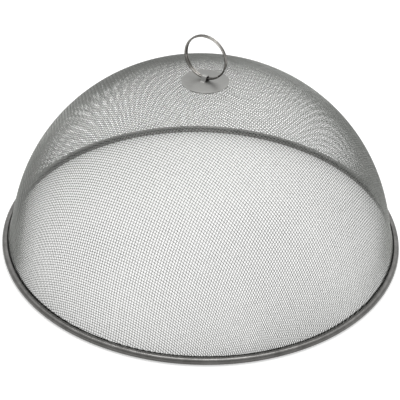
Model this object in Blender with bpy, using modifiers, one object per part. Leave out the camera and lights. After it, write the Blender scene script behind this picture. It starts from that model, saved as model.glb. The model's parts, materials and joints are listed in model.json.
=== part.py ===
"""Domed food cover of woven steel wire, with a rolled rim and a folding split ring on its crown.

Metres, +Z up. The origin is at the middle of the rim, on the surface that the rim stands on.
The weave runs along X and Y. The split ring stands in the XZ plane and folds about X.
"""
import math

import bmesh
import bpy
import numpy as np

# Clearance between pieces that touch on the real cover
GAP = 0.0003

# Distance under which two points are one, and the angles over which an edge is broken or kept sharp
MERGE_DISTANCE = 0.000003
BROKEN_EDGE_ANGLE = math.radians(50.0)
SHARP_EDGE_ANGLE = math.radians(40.0)

# Whole cover: the width over the rim and the height of the top plate's upper face
OVERALL_DIAMETER = 0.350
CROWN_HEIGHT = 0.1549

# Wire cloth: wire and pitch of the real cloth, and how many wires one modelled strand stands for
CLOTH_WIRE = 0.00042
CLOTH_PITCH = 0.0022
WIRES_PER_STRAND = 8

# Dome section: how full its side and crown are, the flare that leads the cloth into the rim, and how
# far above the bottom of the slot the cloth ends
SIDE_POWER = 2.11
CROWN_POWER = 1.89
FLARE_WIDTH = 0.0047
FLARE_FADE = 0.010
EDGE_LIFT = 0.0012
SEAT_BLEND = 0.0004
SECTION_SAMPLES = 2400

# Net of crossings: rounds of Newton's method, its small step and the cloth's reach past the edge as
# shares of the pitch, and how near the edge a crossing is drawn onto it
NET_ROUNDS = 8
NUDGE_SHARE = 0.02
REACH_SHARE = 3.0
SNAP_SHARE = 0.40

# Rolled rim: its section, the slot that takes the cloth, and the hoop wire inside
RIM_WIDTH = 0.0068
RIM_HEIGHT = 0.0056
RIM_CORNER = 0.0026
RIM_SHEET = 0.0005
RIM_SLOT_WIDTH = 0.0026
RIM_LIP_HEIGHT = 0.0043
RIM_CURL_RADIUS = 0.0009
RIM_CURL_DEPTH = 0.0012
RIM_WIRE_DIAMETER = 0.0022
RIM_STEPS = 60
RIM_WIRE_SIDES = 6
CORNER_FACETS = 3
CURL_FACETS = 2

# Plates that hold the crown of the cloth between them
PLATE_RADIUS = 0.0198
PLATE_THICKNESS = 0.0008
INNER_PLATE_RADIUS = 0.0180
PLATE_EDGE_ROUND = 0.0002
PLATE_STEPS = 40

# Bridge strap lanced out of the top plate
STRAP_WIDTH = 0.0045
STRAP_HALF_SPAN = 0.0050
STRAP_FLAT_HALF = 0.0009
STRAP_KERF = 0.0003
STRAP_STATIONS = 14

# Split ring: flat wire wound in two turns, with the jog from one turn to the other
RING_OUTER_DIAMETER = 0.0390
RING_STRIP_WIDTH = 0.00115
RING_STRIP_DEPTH = 0.0016
RING_STRIP_CHAMFER = 0.0003
RING_TURN_GAP = 0.00045
RING_PLAY = 0.00025
RING_JOG_ANGLE = math.radians(-32.0)
RING_JOG_HALF = math.radians(12.0)
RING_END_ANGLE = math.radians(4.0)
RING_POINTS_PER_TURN = 32
RING_JOG_POINTS = 4
GAP_POINTS_PER_TURN = 160
GAP_JOG_POINTS = 20

# Finishes, as linear colour, roughness and metallic value
STEEL_CLOTH = ((0.50, 0.51, 0.50), 0.38, 1.0)
STEEL_RIM = ((0.42, 0.42, 0.41), 0.34, 1.0)
STEEL_PLATE = ((0.50, 0.50, 0.49), 0.40, 1.0)
STEEL_WIRE = ((0.38, 0.38, 0.38), 0.45, 1.0)
STEEL_RING = ((0.62, 0.62, 0.61), 0.22, 1.0)

# Sizes that follow from the ones above

# One strand holds the steel of the wires it stands for; the strand's section is a square on edge
strand_size = CLOTH_WIRE * math.sqrt(math.pi * WIRES_PER_STRAND / 2)
strand_pitch = CLOTH_PITCH * WIRES_PER_STRAND
strand_reach = strand_size / 2

rim_outer_radius = OVERALL_DIAMETER / 2
rim_inner_radius = rim_outer_radius - RIM_WIDTH
lip_outer_radius = rim_inner_radius + RIM_SHEET
curl_inner_radius = lip_outer_radius + RIM_SLOT_WIDTH

cloth_edge_height = RIM_SHEET + GAP + strand_reach + EDGE_LIFT
slot_radius = lip_outer_radius + GAP + strand_reach
flare_at_slot = FLARE_WIDTH * math.exp((cloth_edge_height - RIM_LIP_HEIGHT) / FLARE_FADE)
dome_radius = slot_radius - flare_at_slot
seat_height = CROWN_HEIGHT - PLATE_THICKNESS - GAP - strand_reach

ring_radius = RING_OUTER_DIAMETER / 2 - RING_STRIP_DEPTH / 2
turn_offset = (RING_STRIP_WIDTH + RING_TURN_GAP) / 2
ring_half_width = turn_offset + RING_STRIP_WIDTH / 2
ring_swing_radius = max(math.hypot(ring_half_width, RING_STRIP_DEPTH / 2 - RING_STRIP_CHAMFER),
                        math.hypot(ring_half_width - RING_STRIP_CHAMFER, RING_STRIP_DEPTH / 2))
pivot_height = CROWN_HEIGHT + ring_swing_radius + RING_PLAY
strap_rise = 2 * (ring_swing_radius + RING_PLAY) + PLATE_THICKNESS


def clear_scene():
    """Remove every object, so that the model starts from an empty scene."""
    for old in list(bpy.data.objects):
        bpy.data.objects.remove(old, do_unlink=True)


def new_collection(name):
    collection = bpy.data.collections.new(name)
    bpy.context.scene.collection.children.link(collection)
    return collection


def new_material(name, finish):
    """Principled material from a colour, a roughness and a metallic value."""
    colour, roughness, metallic = finish
    material = bpy.data.materials.new(name)
    material.use_nodes = True
    shader = material.node_tree.nodes["Principled BSDF"]
    shader.inputs["Base Color"].default_value = (*colour, 1.0)
    shader.inputs["Roughness"].default_value = roughness
    shader.inputs["Metallic"].default_value = metallic
    return material


def new_object(name, data, collection, material=None):
    item = bpy.data.objects.new(name, data)
    collection.objects.link(item)
    if material is not None:
        data.materials.append(material)
    return item


def polyline_mesh(name, points):
    """Open chain of edges in the XZ plane, for a Screw modifier to turn."""
    vertices = [(across, 0.0, up) for across, up in points]
    edges = [(index, index + 1) for index in range(len(points) - 1)]
    mesh = bpy.data.meshes.new(name)
    mesh.from_pydata(vertices, edges, [])
    return mesh


def arc_points(centre, radius, start, end, facets):
    """Points of an arc in the section plane, its angles in degrees from the outward direction."""
    turns = [math.radians(start + (end - start) * step / facets) for step in range(facets + 1)]
    return [(centre[0] + radius * math.cos(turn), centre[1] + radius * math.sin(turn)) for turn in turns]


def add_screw(item, steps):
    """Turn a profile one full turn about Z."""
    screw = item.modifiers.new("turn", "SCREW")
    screw.steps = steps
    screw.render_steps = steps
    screw.use_merge_vertices = True
    screw.merge_threshold = MERGE_DISTANCE
    return screw


def add_solidify(item, thickness):
    """Give a surface its thickness on the side away from its normals."""
    wall = item.modifiers.new("wall", "SOLIDIFY")
    wall.thickness = thickness
    wall.offset = -1.0
    wall.use_even_offset = True
    return wall


def add_bevel(item, width):
    edge = item.modifiers.new("edges", "BEVEL")
    edge.width = width
    edge.segments = 1
    edge.limit_method = "ANGLE"
    edge.angle_limit = BROKEN_EDGE_ANGLE
    edge.use_clamp_overlap = True
    return edge


def dome_section(reach):
    """Radius, height and length along the half section of the cloth's middle surface.

    The curve is a quarter of a superellipse from the crown to the edge. A flare is added that dies
    away upwards, and the crown is pressed down to the flat seat of the plates through a smooth
    minimum. Past the edge it runs on straight for the given reach.
    """
    turn = np.linspace(0.0, math.pi / 2, SECTION_SAMPLES)
    height = cloth_edge_height + (CROWN_HEIGHT - cloth_edge_height) * np.cos(turn) ** (2 / CROWN_POWER)
    height[-1] = cloth_edge_height
    radius = dome_radius * np.sin(turn) ** (2 / SIDE_POWER)
    radius += FLARE_WIDTH * np.exp((cloth_edge_height - height) / FLARE_FADE)
    radius[0] = 0.0
    height = seat_height - SEAT_BLEND * np.logaddexp(0.0, (seat_height - height) / SEAT_BLEND)
    height[-1] = cloth_edge_height
    length = np.concatenate(([0.0], np.cumsum(np.hypot(np.diff(radius), np.diff(height)))))
    run = np.array([radius[-1] - radius[-3], height[-1] - height[-3]])
    run /= np.linalg.norm(run)
    radius = np.append(radius, radius[-1] + reach * run[0])
    height = np.append(height, height[-1] + reach * run[1])
    return radius, height, np.append(length, length[-1] + reach), length[-1]


def place_on_dome(flat, section):
    """Carry flat points, at their distance from the crown along the cloth, onto the dome."""
    radius, height, length, _ = section
    distance = np.hypot(flat[..., 0], flat[..., 1])
    heading = np.arctan2(flat[..., 1], flat[..., 0])
    out = np.interp(distance, length, radius)
    up = np.interp(distance, length, height)
    return np.stack([out * np.cos(heading), out * np.sin(heading), up], axis=-1)


def cloth_net(pitch):
    """Crossings of a woven cloth laid over the dome from its crown, for one quarter.

    The wires don't stretch, so every cell keeps four equal sides and only shears. The two wires
    through the crown follow the section. Each further crossing lies one pitch from its two
    neighbours, which a few Newton steps find for a whole diagonal of the quarter at once.
    """
    section = dome_section(REACH_SHARE * pitch)
    edge_length = section[3]
    count = int(edge_length / pitch + REACH_SHARE)
    flat = np.full((count, count, 2), np.nan)
    along = np.arange(count) * pitch
    flat[:, 0] = np.stack([along, np.zeros(count)], axis=-1)
    flat[0, :] = np.stack([np.zeros(count), along], axis=-1)
    nudge = pitch * NUDGE_SHARE
    for diagonal in range(2, 2 * count - 1):
        row = np.arange(max(1, diagonal - count + 1), min(diagonal, count))
        column = diagonal - row
        behind = flat[row - 1, column - 1]
        inside = np.hypot(behind[:, 0], behind[:, 1]) <= edge_length
        inside &= ~np.isnan(flat[row, column - 1, 0]) & ~np.isnan(flat[row - 1, column, 0])
        row = row[inside]
        column = column[inside]
        if len(row) == 0:
            continue
        sides = (flat[row, column - 1], flat[row - 1, column])
        spots = [place_on_dome(side, section) for side in sides]
        guess = sides[0] + sides[1] - flat[row - 1, column - 1]
        for _ in range(NET_ROUNDS):
            here = place_on_dome(guess, section)
            step_x = place_on_dome(guess + (nudge, 0.0), section) - here
            step_y = place_on_dome(guess + (0.0, nudge), section) - here
            error = np.stack([np.sum((here - spot) ** 2, axis=-1) - pitch ** 2 for spot in spots], axis=-1)
            slope = np.stack([np.stack([np.sum(2 * (here - spot) * step, axis=-1) / nudge
                                        for step in (step_x, step_y)], axis=-1) for spot in spots], axis=-2)
            guess = guess - np.linalg.solve(slope, error[..., None])[..., 0]
        flat[row, column] = guess
    return flat, section


def build_mesh_dome(collection, material):
    """The wire cloth, as an open lattice; each strand follows one wire and stands for its neighbours too."""
    flat, section = cloth_net(strand_pitch)
    edge_length = section[3]
    distance = np.hypot(flat[..., 0], flat[..., 1])
    near = np.abs(distance - edge_length) < SNAP_SHARE * strand_pitch
    flat[near] *= (edge_length / distance[near])[:, None]
    spots = place_on_dome(flat, section)
    count = len(flat)

    cloth = bmesh.new()
    cells = 2 * (count - 1)
    bmesh.ops.create_grid(cloth, x_segments=cells, y_segments=cells, size=(count - 1) * strand_pitch)
    loose = []
    for vertex in cloth.verts:
        column = round(vertex.co.x / strand_pitch)
        row = round(vertex.co.y / strand_pitch)
        spot = spots[abs(column), abs(row)]
        if np.isnan(spot[0]):
            loose.append(vertex)
            continue
        vertex.co = (math.copysign(spot[0], column), math.copysign(spot[1], row), spot[2])
    bmesh.ops.delete(cloth, geom=loose, context="VERTS")
    bmesh.ops.bisect_plane(cloth, geom=cloth.verts[:] + cloth.edges[:] + cloth.faces[:],
                           dist=MERGE_DISTANCE, plane_co=(0.0, 0.0, cloth_edge_height),
                           plane_no=(0.0, 0.0, -1.0), clear_outer=True)
    bmesh.ops.recalc_face_normals(cloth, faces=cloth.faces)
    mesh = bpy.data.meshes.new("mesh_dome")
    cloth.to_mesh(mesh)
    cloth.free()

    dome = new_object("mesh_dome", mesh, collection, material)
    strands = dome.modifiers.new("strands", "WIREFRAME")
    strands.thickness = strand_size
    strands.offset = 0.0
    strands.use_boundary = True
    strands.use_replace = True
    strands.use_even_offset = True
    strands.use_relative_offset = False
    return dome


def build_rim_band(collection, material):
    """Sheet rolled round the hoop wire: a curl, the outer side, a flat foot and the inner lip."""
    corner_out = rim_outer_radius - RIM_CORNER
    corner_in = rim_inner_radius + RIM_CORNER
    curl_centre = curl_inner_radius + RIM_CURL_RADIUS
    curl_height = RIM_HEIGHT - RIM_CURL_RADIUS
    profile = [(curl_inner_radius, curl_height + RIM_CURL_RADIUS - RIM_CURL_DEPTH)]
    profile += arc_points((curl_centre, curl_height), RIM_CURL_RADIUS, 180.0, 90.0, CURL_FACETS)
    profile += arc_points((corner_out, RIM_HEIGHT - RIM_CORNER), RIM_CORNER, 90.0, 0.0, CORNER_FACETS)
    profile += arc_points((corner_out, RIM_CORNER), RIM_CORNER, 0.0, -90.0, CORNER_FACETS)
    profile += arc_points((corner_in, RIM_CORNER), RIM_CORNER, -90.0, -180.0, CORNER_FACETS)
    profile.append((rim_inner_radius, RIM_LIP_HEIGHT))
    rim = new_object("rim_band", polyline_mesh("rim_band", profile), collection, material)
    add_screw(rim, RIM_STEPS)
    add_solidify(rim, RIM_SHEET)
    return rim


def build_rim_wire(collection, material):
    """Round hoop wire that stiffens the rim, inside its outer wall."""
    radius = RIM_WIRE_DIAMETER / 2
    middle = rim_outer_radius - RIM_SHEET - GAP - radius
    bpy.ops.mesh.primitive_torus_add(major_radius=middle, minor_radius=radius, major_segments=RIM_STEPS,
                                     minor_segments=RIM_WIRE_SIDES, location=(0.0, 0.0, RIM_HEIGHT / 2))
    wire = bpy.context.active_object
    wire.name = "rim_wire"
    wire.data.name = "rim_wire"
    wire.data.materials.append(material)
    for holder in wire.users_collection:
        holder.objects.unlink(wire)
    collection.objects.link(wire)
    wire.data.shade_smooth()
    return wire


def strap_height(along):
    """Rise of the bridge's upper face over the plate: flat on top, then half a cosine down each side."""
    fall = (abs(along) - STRAP_FLAT_HALF) / (STRAP_HALF_SPAN - STRAP_FLAT_HALF)
    fall = min(max(fall, 0.0), 1.0)
    return strap_rise * (0.5 + 0.5 * math.cos(math.pi * fall))


def build_top_plate(collection, material):
    """Round plate with two slits, and the strap between them pressed up to a bridge."""
    plate = bmesh.new()
    bmesh.ops.create_circle(plate, cap_ends=True, radius=PLATE_RADIUS, segments=PLATE_STEPS)
    half = STRAP_WIDTH / 2
    for across in (-half - STRAP_KERF, -half, half, half + STRAP_KERF):
        bmesh.ops.bisect_plane(plate, geom=plate.verts[:] + plate.edges[:] + plate.faces[:],
                               dist=MERGE_DISTANCE, plane_co=(across, 0.0, 0.0),
                               plane_no=(1.0, 0.0, 0.0))
    for along in (-STRAP_HALF_SPAN, STRAP_HALF_SPAN):
        bmesh.ops.bisect_plane(plate, geom=plate.verts[:] + plate.edges[:] + plate.faces[:],
                               dist=MERGE_DISTANCE, plane_co=(0.0, along, 0.0),
                               plane_no=(0.0, 1.0, 0.0))

    def in_span(face):
        return abs(face.calc_center_median().y) < STRAP_HALF_SPAN

    slits = [face for face in plate.faces
             if in_span(face) and half < abs(face.calc_center_median().x) < half + STRAP_KERF]
    bmesh.ops.delete(plate, geom=slits, context="FACES")
    for station in range(1, STRAP_STATIONS):
        along = STRAP_HALF_SPAN * (2 * station / STRAP_STATIONS - 1)
        strip = [face for face in plate.faces
                 if in_span(face) and abs(face.calc_center_median().x) < half]
        edges = {edge for face in strip for edge in face.edges}
        corners = {vertex for face in strip for vertex in face.verts}
        bmesh.ops.bisect_plane(plate, geom=list(corners) + list(edges) + strip, dist=MERGE_DISTANCE,
                               plane_co=(0.0, along, 0.0), plane_no=(0.0, 1.0, 0.0))
    for vertex in plate.verts:
        if abs(vertex.co.x) < half + STRAP_KERF / 2 and abs(vertex.co.y) < STRAP_HALF_SPAN:
            vertex.co.z = strap_height(vertex.co.y)
    mesh = bpy.data.meshes.new("top_plate")
    plate.to_mesh(mesh)
    plate.free()
    item = new_object("top_plate", mesh, collection, material)
    item.location = (0.0, 0.0, CROWN_HEIGHT)
    add_solidify(item, PLATE_THICKNESS)
    add_bevel(item, PLATE_EDGE_ROUND)
    return item


def build_inner_plate(collection, material):
    """Flat backing disc under the crown, which the weld spots tie to the top plate."""
    top = seat_height - strand_reach - GAP
    profile = [(0.0, 0.0), (INNER_PLATE_RADIUS, 0.0), (INNER_PLATE_RADIUS, -PLATE_THICKNESS),
               (0.0, -PLATE_THICKNESS)]
    item = new_object("inner_plate", polyline_mesh("inner_plate", profile), collection, material)
    item.location = (0.0, 0.0, top)
    add_screw(item, PLATE_STEPS)
    add_bevel(item, PLATE_EDGE_ROUND)
    return item


def ring_path(points_per_turn, jog_points):
    """Centre line of the flat wire about its own axis: angle, and offset along the axis.

    Both turns are flat. The jog is a smooth step from one turn to the other, and each end of the
    wire stops just past the jog that crosses in front of it.
    """
    reach = 2 * math.pi - RING_JOG_HALF - RING_END_ANGLE
    plain = np.linspace(RING_JOG_HALF, reach, points_per_turn)
    jog = np.linspace(-RING_JOG_HALF, RING_JOG_HALF, jog_points + 2)[1:-1]
    angle = np.concatenate([-plain[::-1], jog, plain])
    share = np.clip((angle + RING_JOG_HALF) / (2 * RING_JOG_HALF), 0.0, 1.0)
    step = share * share * (3.0 - 2.0 * share)
    return angle, turn_offset * (2.0 * step - 1.0)


def build_split_ring(collection, guides, material):
    """Flat wire swept along two turns, one unbroken length with both ends capped."""
    outline = bpy.data.curves.new("ring_wire_outline", "CURVE")
    outline.dimensions = "2D"
    half_depth = RING_STRIP_DEPTH / 2
    half_width = RING_STRIP_WIDTH / 2
    cut = RING_STRIP_CHAMFER
    corners = [(half_depth, half_width - cut), (half_depth - cut, half_width),
               (cut - half_depth, half_width), (-half_depth, half_width - cut),
               (-half_depth, cut - half_width), (cut - half_depth, -half_width),
               (half_depth - cut, -half_width), (half_depth, cut - half_width)]
    loop = outline.splines.new("POLY")
    loop.points.add(len(corners) - 1)
    loop.use_cyclic_u = True
    for point, corner in zip(loop.points, corners):
        point.co = (corner[0], corner[1], 0.0, 1.0)
    guide = new_object("ring_wire_outline", outline, guides)
    guide.hide_render = True
    guide.display_type = "WIRE"

    angle, offset = ring_path(RING_POINTS_PER_TURN, RING_JOG_POINTS)
    turn = angle + RING_JOG_ANGLE
    path = bpy.data.curves.new("ring_path", "CURVE")
    path.dimensions = "3D"
    path.twist_mode = "Z_UP"
    path.bevel_mode = "OBJECT"
    path.bevel_object = guide
    path.use_fill_caps = True
    wire = path.splines.new("POLY")
    wire.points.add(len(angle) - 1)
    for point, heading, aside in zip(wire.points, turn, offset):
        point.co = (ring_radius * math.cos(heading), ring_radius * math.sin(heading), aside, 1.0)
    swept = new_object("ring_sweep", path, guides)
    bpy.context.view_layer.update()
    graph = bpy.context.evaluated_depsgraph_get()
    mesh = bpy.data.meshes.new_from_object(swept.evaluated_get(graph))
    bpy.data.objects.remove(swept, do_unlink=True)

    # The sweep lies in its own XY plane; it is stood up in XZ with its lowest point on the pivot
    body = bmesh.new()
    body.from_mesh(mesh)
    bmesh.ops.remove_doubles(body, verts=body.verts, dist=MERGE_DISTANCE)
    for vertex in body.verts:
        across, up, aside = vertex.co
        vertex.co = (across, -aside, up + ring_radius)
    bmesh.ops.recalc_face_normals(body, faces=body.faces)
    body.to_mesh(mesh)
    body.free()
    mesh.name = "split_ring"
    pivot = bpy.data.objects.new("ring_pivot", None)
    pivot.location = (0.0, 0.0, pivot_height)
    collection.objects.link(pivot)
    ring = new_object("split_ring", mesh, collection, material)
    ring.parent = pivot
    mesh.shade_smooth()
    mesh.set_sharp_from_angle(angle=SHARP_EDGE_ANGLE)
    return ring


def report_ring_gap():
    """Print the least gap between the ring's two turns, from close points along the wire's edges."""
    angle, offset = ring_path(GAP_POINTS_PER_TURN, GAP_JOG_POINTS)
    edges = []
    for side in (-1.0, 1.0):
        for face in (-1.0, 1.0):
            radius = ring_radius + side * (RING_STRIP_DEPTH / 2 - RING_STRIP_CHAMFER)
            edges.append(np.stack([radius * np.cos(angle), radius * np.sin(angle),
                                   offset + face * RING_STRIP_WIDTH / 2], axis=-1))
    spots = np.concatenate(edges)
    place = np.tile(angle, len(edges))
    apart = np.abs(place[:, None] - place[None]) > math.pi
    gaps = np.linalg.norm(spots[:, None] - spots[None], axis=-1)
    print("least gap between the ring's turns, in mm: %.3f" % (gaps[apart].min() * 1000.0))


def main():
    clear_scene()
    parts = new_collection("mesh_food_cover")
    guides = new_collection("guides")
    build_mesh_dome(parts, new_material("steel_cloth", STEEL_CLOTH))
    build_rim_band(parts, new_material("steel_rim", STEEL_RIM))
    build_rim_wire(parts, new_material("steel_hoop_wire", STEEL_WIRE))
    plate_steel = new_material("steel_plate", STEEL_PLATE)
    build_top_plate(parts, plate_steel)
    build_inner_plate(parts, plate_steel)
    build_split_ring(parts, guides, new_material("steel_ring", STEEL_RING))
    report_ring_gap()


main()
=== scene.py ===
"""Looks of a domed food cover: woven steel wire cloth, a rolled rim, two crown plates and a split ring.

Metres, +Z up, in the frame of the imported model. The origin is at the middle of the rim on the
surface it stands on. The wires of the cloth run along X and Y, and the ring stands in the XZ plane.
"""
import json
import math

import bpy
import numpy as np
from mathutils import Matrix, Vector


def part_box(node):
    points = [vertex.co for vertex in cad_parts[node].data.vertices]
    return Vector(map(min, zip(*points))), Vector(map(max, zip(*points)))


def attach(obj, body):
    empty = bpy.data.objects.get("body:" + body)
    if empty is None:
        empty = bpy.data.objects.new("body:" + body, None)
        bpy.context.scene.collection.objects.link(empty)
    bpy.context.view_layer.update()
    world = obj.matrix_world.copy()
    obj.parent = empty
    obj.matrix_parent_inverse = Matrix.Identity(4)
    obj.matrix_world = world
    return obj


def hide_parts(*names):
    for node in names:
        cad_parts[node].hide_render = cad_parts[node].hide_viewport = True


bl_info = {
    "name": "Mesh Food Cover",
    "version": (1, 0, 0),
    "blender": (4, 5, 0),
    "location": "3D View > Sidebar > Food Cover",
    "description": "Weaves the cloth, rolls the rim, presses the plates and coils the ring of a food cover",
    "category": "Add Mesh",
}

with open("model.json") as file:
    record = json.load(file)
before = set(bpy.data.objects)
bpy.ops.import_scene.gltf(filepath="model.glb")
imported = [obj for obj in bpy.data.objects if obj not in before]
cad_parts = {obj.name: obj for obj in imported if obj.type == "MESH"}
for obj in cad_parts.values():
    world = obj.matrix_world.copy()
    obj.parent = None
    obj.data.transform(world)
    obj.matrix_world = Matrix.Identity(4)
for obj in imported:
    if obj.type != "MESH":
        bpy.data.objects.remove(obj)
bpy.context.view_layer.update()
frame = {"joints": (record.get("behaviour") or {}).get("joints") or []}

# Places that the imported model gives
RIM_OUTER_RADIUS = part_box("rim_band")[1].x
RIM_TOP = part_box("rim_band")[1].z
PLATE_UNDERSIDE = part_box("top_plate")[0].z
INNER_PLATE_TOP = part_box("inner_plate")[1].z
RING_PIVOT_HEIGHT = frame["joints"][0]["pos_m"][2]

# The cloth's half section: a quarter of a superellipse with a flare at its foot and a flat seat
# for the plates
CROWN_HEIGHT = 0.1549
CLOTH_EDGE_HEIGHT = 0.002744
CLOTH_SEAT_HEIGHT = 0.153056
CLOTH_SIDE_RADIUS = 0.165722
SIDE_POWER = 2.11
CROWN_POWER = 1.89
FLARE_WIDTH = 0.0047
FLARE_FADE = 0.010
SEAT_BLEND = 0.0011
SECTION_SAMPLES = 2400

# Net of crossings: rounds of Newton's method, its small step in pitches, how many pitches the net
# reaches past the edge, and the shortest last stretch of a wire in pitches
NET_ROUNDS = 8
NUDGE_SHARE = 0.02
SPARE_PITCHES = 3
LAST_STRETCH_SHARE = 0.15

# Brightness of the wires: its middle, how much it differs from wire to wire and along a wire, and
# the number, shortest length and range of lengths of the waves along a wire
TONE_MIDDLE = 0.25
TONE_BY_WIRE = 0.10
TONE_ALONG_WIRE = 0.25
TONE_WAVES = 24
TONE_SHORTEST_WAVE = 0.02
TONE_WAVE_RANGE = 4.0

# Rim: facets of its corners and curl, turns of the points round its sheared edges, how rubbed these
# are, and the waves of its waver, each with its number round the rim and its phase
CORNER_FACETS = 8
CURL_FACETS = 6
SHEARED_EDGE_TURNS = np.radians([45.0, 90.0, 135.0])[:, None]
CURL_EDGE_RUB = 0.5
LIP_EDGE_RUB = 0.3
WAVER_WAVES = np.array([[3.0, 0.4], [5.0, 2.1], [9.0, 4.4], [16.0, 1.3]])
HOOP_SIDES = 12

# Plates: half the middle patch in half spans of the strap, the patch's grid lines, the rings round
# it and in the drawn edge, and how the sheared edges are broken
PATCH_SHARE = 1.5
SIDE_LINES = 15
STRAP_LINES = 9
SPAN_LINES = 33
BEYOND_LINES = 9
INNER_CELLS = 40
SPREAD_RINGS = 7
DRAWN_EDGE_RINGS = 6
BROKEN_EDGE_SHARE = 0.18
BROKEN_EDGE_ANGLE = math.radians(50.0)

# Plates: how square the wall of a weld print is, where the film round it is darkest and how far it
# reaches, in print radii, and how rubbed the plate's edge and the strap are
PRINT_POWER = 8
HEAT_PLACE = 1.3
HEAT_REACH = 0.5
PLATE_EDGE_RUB = 0.3
STRAP_RUB = 0.5

# Ring: facets of the wire's rounded edges, how many times fewer steps the jog has than a turn, and
# the stretches painted bright as highlights, where strap and fingers also wear it: heading and reach
# in degrees, and amount
ROUNDING_FACETS = 4
JOG_STEPS_DIVISOR = 6
GLINT_AND_WEAR_STRETCHES = ((-122.0, 16.0, 0.9), (56.0, 24.0, 0.5))

# Stage: half the floor's width, how far it lies under the rim, the key lamp's size, its place to the
# camera's right, away from it and up, and the height that it aims at
FLOOR_HALF = 4.0
FLOOR_DROP = 0.00002
LAMP_WIDTH = 1.4
LAMP_DEPTH = 0.9
LAMP_RIGHT, LAMP_AWAY, LAMP_UP = 0.05, 0.15, 1.8
LAMP_AIM_HEIGHT = 0.08

# Names of the maps for pictures of the pieces' surfaces and for patterns
PICTURE_MAP = "OFBake"
RUN_MAP = "run"

# Picture map: its margin, and the place and half size there of a swept piece's closed ends. For the
# wires, the margin in each strip, and a closed end's offset, half width and share of a wire's height
MAP_MARGIN = 0.02
SWEPT_END_PLACE = 0.01
SWEPT_END_HALF = 0.008
STRIP_MARGIN = 0.08
WIRE_END_OFFSET = 0.006
WIRE_END_HALF = 0.004
WIRE_END_HEIGHT = 0.45


def linear(code):
    """Linear colour of an sRGB hex code."""
    shares = [int(code[place:place + 2], 16) / 255 for place in (1, 3, 5)]
    return tuple(share / 12.92 if share <= 0.04045 else ((share + 0.055) / 1.055) ** 2.4 for share in shares)


def figure(name, description, value, **kind):
    """Property for a number, with the unit or subtype that fits it."""
    return bpy.props.FloatProperty(name=name, description=description, default=value, **kind)


def metres(name, description, value):
    """Property for a length."""
    return figure(name, description, value, unit="LENGTH", precision=5)


def degrees(name, description, value):
    """Property for an angle."""
    return figure(name, description, math.radians(value), subtype="ANGLE")


def whole(name, description, value, least):
    """Property for a whole number."""
    return bpy.props.IntProperty(name=name, description=description, default=value, min=least)


def tint(name, description, code):
    """Property for a colour, from its sRGB hex code."""
    return bpy.props.FloatVectorProperty(
        name=name, description=description, default=linear(code), subtype="COLOR")


class ClothSettings(bpy.types.PropertyGroup):
    """Wire cloth of the dome."""
    wire: metres("Wire", "Diameter of the drawn wire", 0.00044)
    pitch: metres("Pitch", "Distance from one wire to the next", 0.0022)
    sides: whole("Sides", "Sides of each wire", 6, 4)
    bands: whole("Bands", "Pieces that each direction of wires is split in", 4, 1)
    bright: tint("Bright Steel", "Colour of clean drawn wire", "#a6a7a4")
    dull: tint("Dull Steel", "Colour of wire with an oxide film", "#7d7f7c")


class RimSettings(bpy.types.PropertyGroup):
    """Rolled rim and the hoop wire inside it."""
    width: metres("Width", "Width of the rolled rim", 0.0068)
    sheet: metres("Sheet", "Thickness of the rim's sheet", 0.0005)
    corner: metres("Corner", "Radius that the sheet is rolled to", 0.0026)
    slot: metres("Slot", "Width of the slot that takes the cloth", 0.0016)
    lip_height: metres("Lip Height", "Height of the inner lip", 0.0043)
    curl: metres("Curl", "Radius of the curl at the slot", 0.0009)
    curl_depth: metres("Curl Depth", "How far the curl turns down into the slot", 0.0012)
    joint: metres("Joint", "Width of the butt joint at the back of the rim", 0.00025)
    joint_heading: degrees("Joint Heading", "Where the butt joint lies round the rim", 128.0)
    waver: metres("Waver", "Unevenness that the rolling leaves in the rim", 0.00007)
    hoop: metres("Hoop", "Diameter of the hoop wire", 0.0022)
    steps: whole("Steps", "Steps round the rim", 288, 24)
    bright: tint("Bright Steel", "Colour of rubbed sheet", "#979694")
    dull: tint("Dull Steel", "Colour of sheet as rolled", "#4a4947")
    hoop_steel: tint("Hoop Steel", "Colour of the hoop wire between its draw lines", "#5e5d5b")


class PlateSettings(bpy.types.PropertyGroup):
    """Top plate with its bridge strap, and the inner plate."""
    radius: metres("Radius", "Radius of the top plate", 0.0198)
    inner_radius: metres("Inner Radius", "Radius of the inner plate", 0.0180)
    sheet: metres("Sheet", "Thickness of the plates", 0.0006)
    dish: metres("Dish", "How far the top plate's edge lies below its middle", 0.0010)
    inner_dish: metres("Inner Dish", "How far the inner plate's edge lies above its middle", 0.0001)
    edge: metres("Edge", "Width of the edge that blanking has drawn towards the cloth", 0.0012)
    turn_down: metres("Turn Down", "How far a plate's edge is drawn towards the cloth", 0.00006)
    weld_place: metres("Weld Place", "Distance of the four weld spots from each axis", 0.0054)
    weld_radius: metres("Weld Radius", "Radius of the print that a welding tip leaves", 0.0015)
    weld_depth: metres("Weld Depth", "Depth of that print", 0.00012)
    strap_width: metres("Strap Width", "Width of the bridge strap", 0.0045)
    strap_half_span: metres("Strap Half Span", "Half the length of the slits beside the strap", 0.0050)
    strap_flat_half: metres("Strap Flat", "Half the length of the strap's flat top", 0.0009)
    strap_rise: metres("Strap Rise", "Height that the strap is pressed up", 0.004226)
    kerf: metres("Kerf", "Width of the slits", 0.0003)
    bright: tint("Bright Steel", "Colour of rubbed sheet", "#adadaa")
    dull: tint("Dull Steel", "Colour of sheet as pressed", "#90908e")
    heated: tint("Heated Steel", "Colour of the film round a weld spot", "#7c7368")


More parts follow.
